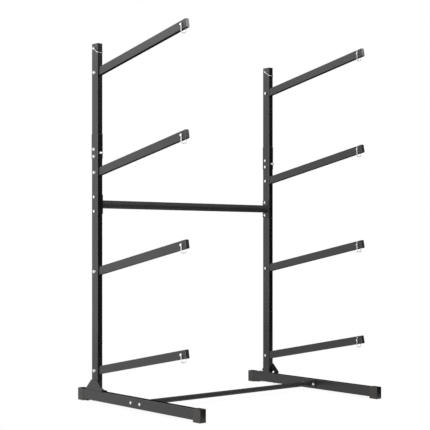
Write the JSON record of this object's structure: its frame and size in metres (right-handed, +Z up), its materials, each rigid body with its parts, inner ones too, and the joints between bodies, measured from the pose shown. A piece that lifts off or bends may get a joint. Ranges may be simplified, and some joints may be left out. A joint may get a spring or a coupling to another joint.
{
  "type": "kayak stand",
  "caption": "Free-standing rack: uprights on long feet carry rising bare tube arms for hulls, with round cross bars between the stands and wire lock pins at the arm ends.",
  "frame": {"origin": "on the floor, midway between the two stands and midway along the feet", "axes": "+Z up, the arms rise towards -Y, and the left stand is at -X"},
  "size_m": [1.1872, 0.9596, 1.7655],
  "materials": {
    "coated_steel": "near-black powder coat, fine grain, satin",
    "zinc_steel": "bright zinc plate",
    "boot_rubber": "black moulded rubber, matt",
    "cap_plastic": "black moulded plastic, fine texture"
  },
  "bodies": {
    "frame": {"foot_left": "coated_steel", "foot_right": "coated_steel", "boot_front_left": "boot_rubber", "boot_front_right": "boot_rubber", "boot_rear_left": "boot_rubber", "boot_rear_right": "boot_rubber", "lower_upright_left": "coated_steel", "lower_upright_right": "coated_steel", "upper_upright_left": "coated_steel", "upper_upright_right": "coated_steel", "top_cap_left": "cap_plastic", "top_cap_right": "cap_plastic", "arm_left_1": "coated_steel", "arm_left_2": "coated_steel", "arm_left_3": "coated_steel", "arm_left_4": "coated_steel", "arm_right_1": "coated_steel", "arm_right_2": "coated_steel", "arm_right_3": "coated_steel", "arm_right_4": "coated_steel", "arm_cap_left_1": "cap_plastic", "arm_cap_left_2": "cap_plastic", "arm_cap_left_3": "cap_plastic", "arm_cap_left_4": "cap_plastic", "arm_cap_right_1": "cap_plastic", "arm_cap_right_2": "cap_plastic", "arm_cap_right_3": "cap_plastic", "arm_cap_right_4": "cap_plastic", "arm_bolt_left_1": "zinc_steel", "arm_bolt_left_2": "zinc_steel", "arm_bolt_left_3": "zinc_steel", "arm_bolt_left_4": "zinc_steel", "arm_bolt_right_1": "zinc_steel", "arm_bolt_right_2": "zinc_steel", "arm_bolt_right_3": "zinc_steel", "arm_bolt_right_4": "zinc_steel", "upper_bar_bolt_left_upper": "zinc_steel", "upper_bar_bolt_left_lower": "zinc_steel", "upper_bar_bolt_right_upper": "zinc_steel", "upper_bar_bolt_right_lower": "zinc_steel", "lower_bar_bolt_left_front": "zinc_steel", "lower_bar_bolt_left_rear": "zinc_steel", "lower_bar_bolt_right_front": "zinc_steel", "lower_bar_bolt_right_rear": "zinc_steel", "base_bolt_left_front": "zinc_steel", "base_bolt_left_rear": "zinc_steel", "base_bolt_right_front": "zinc_steel", "base_bolt_right_rear": "zinc_steel", "upper_cross_bar": "coated_steel", "lower_cross_bar": "coated_steel"},
    "pin_left_1": {"lock_pin_left_1": "zinc_steel"},
    "pin_left_2": {"lock_pin_left_2": "zinc_steel"},
    "pin_left_3": {"lock_pin_left_3": "zinc_steel"},
    "pin_left_4": {"lock_pin_left_4": "zinc_steel"},
    "pin_left_top": {"lock_pin_left_top": "zinc_steel"},
    "pin_right_1": {"lock_pin_right_1": "zinc_steel"},
    "pin_right_2": {"lock_pin_right_2": "zinc_steel"},
    "pin_right_3": {"lock_pin_right_3": "zinc_steel"},
    "pin_right_4": {"lock_pin_right_4": "zinc_steel"},
    "pin_right_top": {"lock_pin_right_top": "zinc_steel"}
  },
  "joints": [
    {"name": "pin_left_1_swing", "type": "hinge", "parent": "frame", "child": "pin_left_1", "pos_m": [-0.56925, -0.34467, 0.28548], "axis": [-1, 0, 0], "range_deg": [-38, 59]},
    {"name": "pin_left_2_swing", "type": "hinge", "parent": "frame", "child": "pin_left_2", "pos_m": [-0.56925, -0.34467, 0.76919], "axis": [-1, 0, 0], "range_deg": [-38, 59]},
    {"name": "pin_left_3_swing", "type": "hinge", "parent": "frame", "child": "pin_left_3", "pos_m": [-0.56925, -0.34467, 1.2529], "axis": [-1, 0, 0], "range_deg": [-38, 59]},
    {"name": "pin_left_4_swing", "type": "hinge", "parent": "frame", "child": "pin_left_4", "pos_m": [-0.56925, -0.34467, 1.74069], "axis": [-1, 0, 0], "range_deg": [-38, 59]},
    {"name": "pin_left_top_swing", "type": "hinge", "parent": "frame", "child": "pin_left_top", "pos_m": [-0.56925, 0.3342, 1.7273], "axis": [-1, 0, 0], "range_deg": [0, 74]},
    {"name": "pin_right_1_swing", "type": "hinge", "parent": "frame", "child": "pin_right_1", "pos_m": [0.56925, -0.34467, 0.28548], "axis": [-1, 0, 0], "range_deg": [-38, 59]},
    {"name": "pin_right_2_swing", "type": "hinge", "parent": "frame", "child": "pin_right_2", "pos_m": [0.56925, -0.34467, 0.76919], "axis": [-1, 0, 0], "range_deg": [-38, 59]},
    {"name": "pin_right_3_swing", "type": "hinge", "parent": "frame", "child": "pin_right_3", "pos_m": [0.56925, -0.34467, 1.2529], "axis": [-1, 0, 0], "range_deg": [-38, 59]},
    {"name": "pin_right_4_swing", "type": "hinge", "parent": "frame", "child": "pin_right_4", "pos_m": [0.56925, -0.34467, 1.74069], "axis": [-1, 0, 0], "range_deg": [-38, 59]},
    {"name": "pin_right_top_swing", "type": "hinge", "parent": "frame", "child": "pin_right_top", "pos_m": [0.56925, 0.3342, 1.7273], "axis": [-1, 0, 0], "range_deg": [0, 74]}
  ]
}
